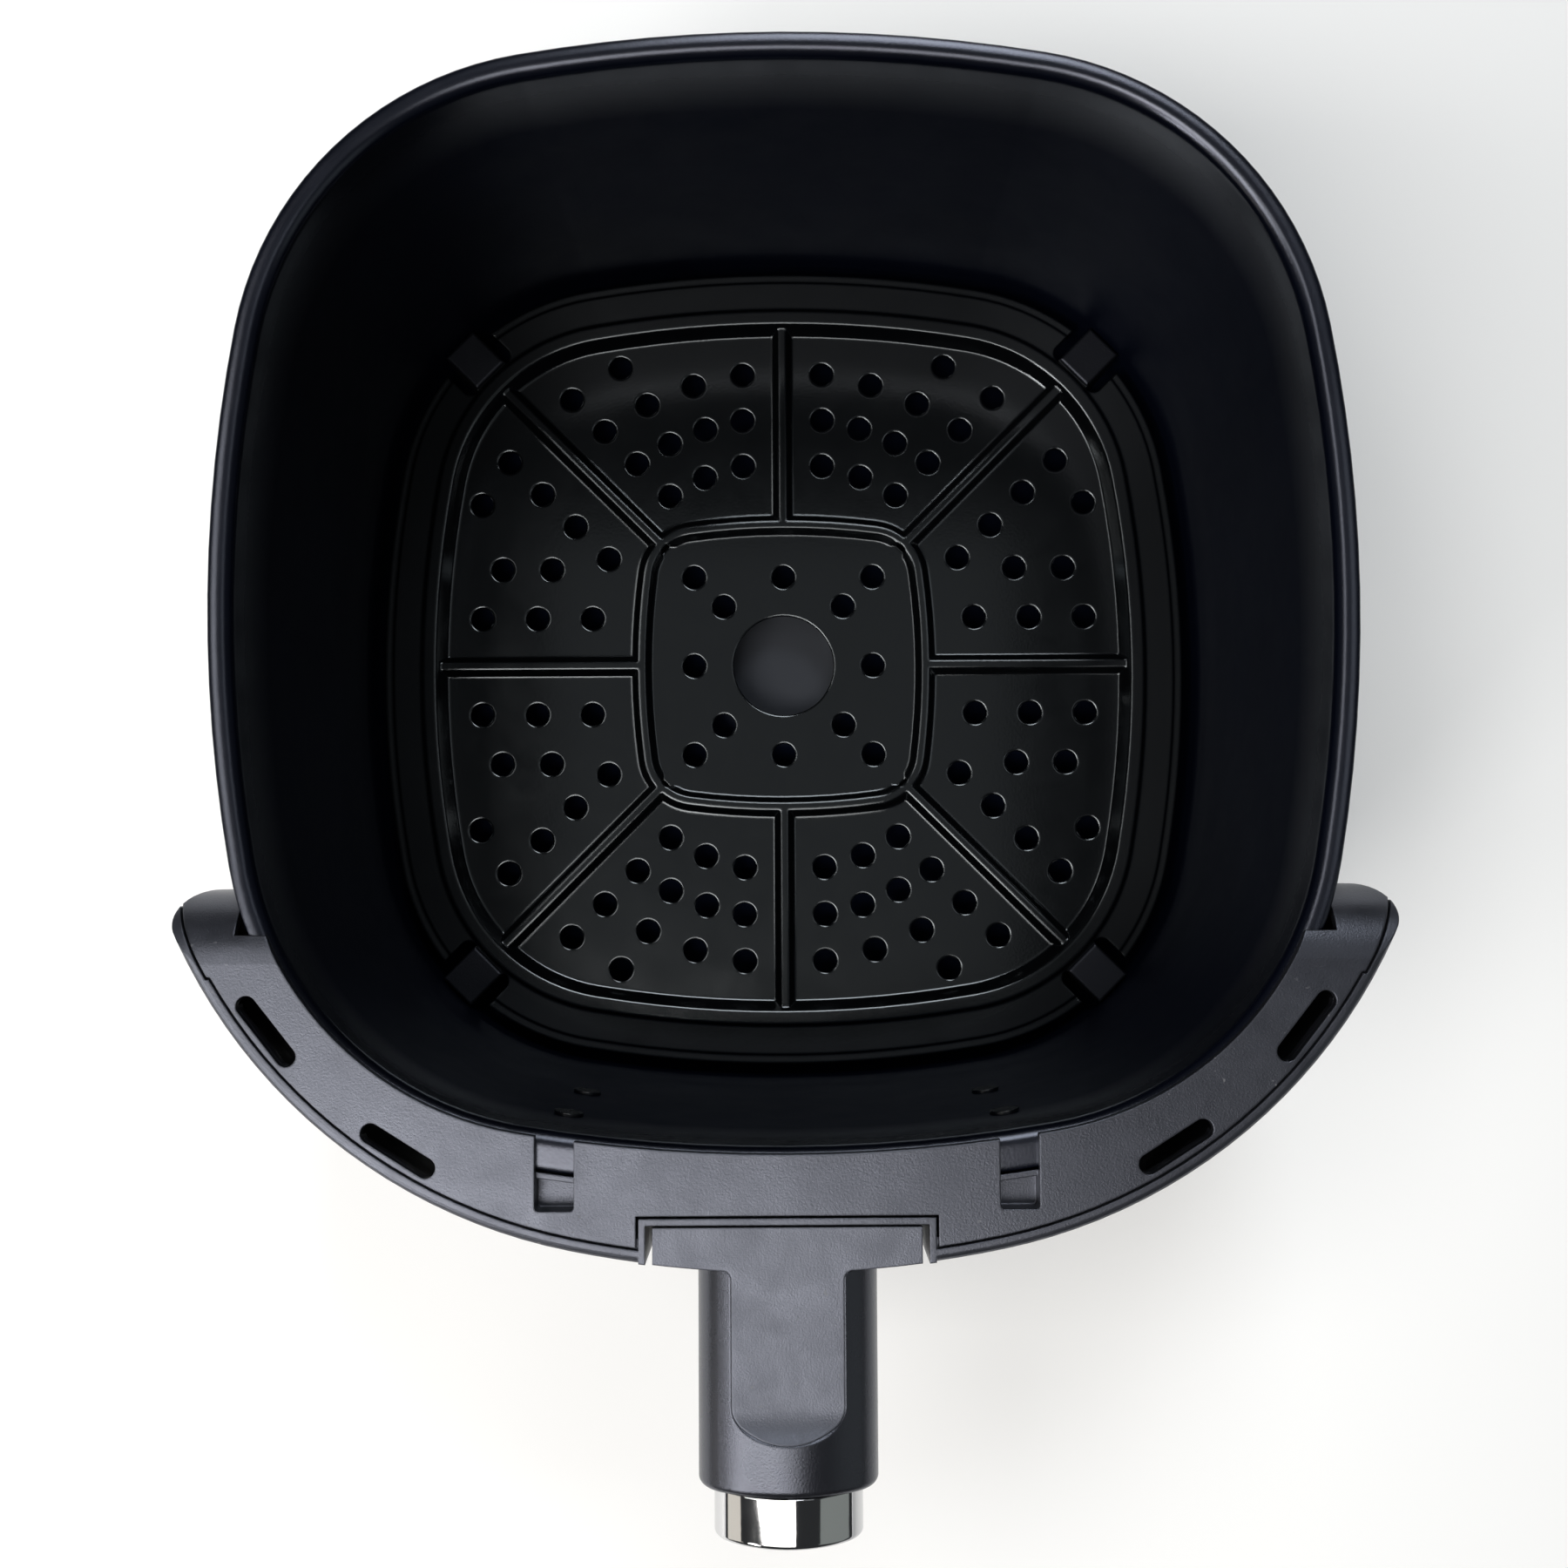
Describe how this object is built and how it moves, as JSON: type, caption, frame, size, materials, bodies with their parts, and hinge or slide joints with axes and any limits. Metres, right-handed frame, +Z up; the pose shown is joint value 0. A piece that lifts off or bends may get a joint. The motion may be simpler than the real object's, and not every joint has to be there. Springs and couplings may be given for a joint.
{
  "type": "air fryer drawer",
  "caption": "Pull-out drawer of a basket air fryer: a deep coated pan with a loose perforated crisper tray on rubber bumpers, and a curved front with an oval handle.",
  "frame": {"origin": "on the surface the drawer stands on, under the middle of the pan's base", "axes": "+Z up, -Y towards the handle and the user, +X to the right as seen from the handle's side"},
  "size_m": [0.2532, 0.3137, 0.1346],
  "materials": {
    "pan_coating": "dark non-stick coating, satin",
    "tray_coating": "black non-stick coating, semi-gloss",
    "bumper_rubber": "soft black rubber, matte",
    "cover_plastic": "charcoal plastic, fine matte",
    "fascia_plastic": "charcoal plastic, fine matte",
    "inner_plastic": "black plastic, matte",
    "handle_plastic": "black plastic, satin",
    "handle_top_plastic": "black plastic, smooth",
    "bright_cap": "polished bright metal",
    "plain_steel": "plain zinc-plated steel",
    "rivet_metal": "coated with the pan"
  },
  "bodies": {
    "drawer": {"pan": "pan_coating", "top_cover": "cover_plastic", "fascia": "fascia_plastic", "inner_panel": "inner_plastic", "handle_bracket": "plain_steel", "bracket_rivets": "rivet_metal", "mount_screws": "plain_steel", "end_screws": "plain_steel", "bottom_screws": "plain_steel", "handle_mount": "handle_plastic", "handle_tongue": "plain_steel", "handle_grip": "handle_plastic", "handle_top": "handle_top_plastic", "handle_lower_cover": "handle_plastic", "grip_screws": "plain_steel", "handle_end_cap": "bright_cap"},
    "tray": {"crisper_tray": "tray_coating", "bumper_front_left": "bumper_rubber", "bumper_front_right": "bumper_rubber", "bumper_back_left": "bumper_rubber", "bumper_back_right": "bumper_rubber"}
  },
  "joints": [
    {"name": "tray_lift", "type": "slide", "parent": "drawer", "child": "tray", "axis": [0, 0, 1], "range_m": [0, 0.145]}
  ]
}
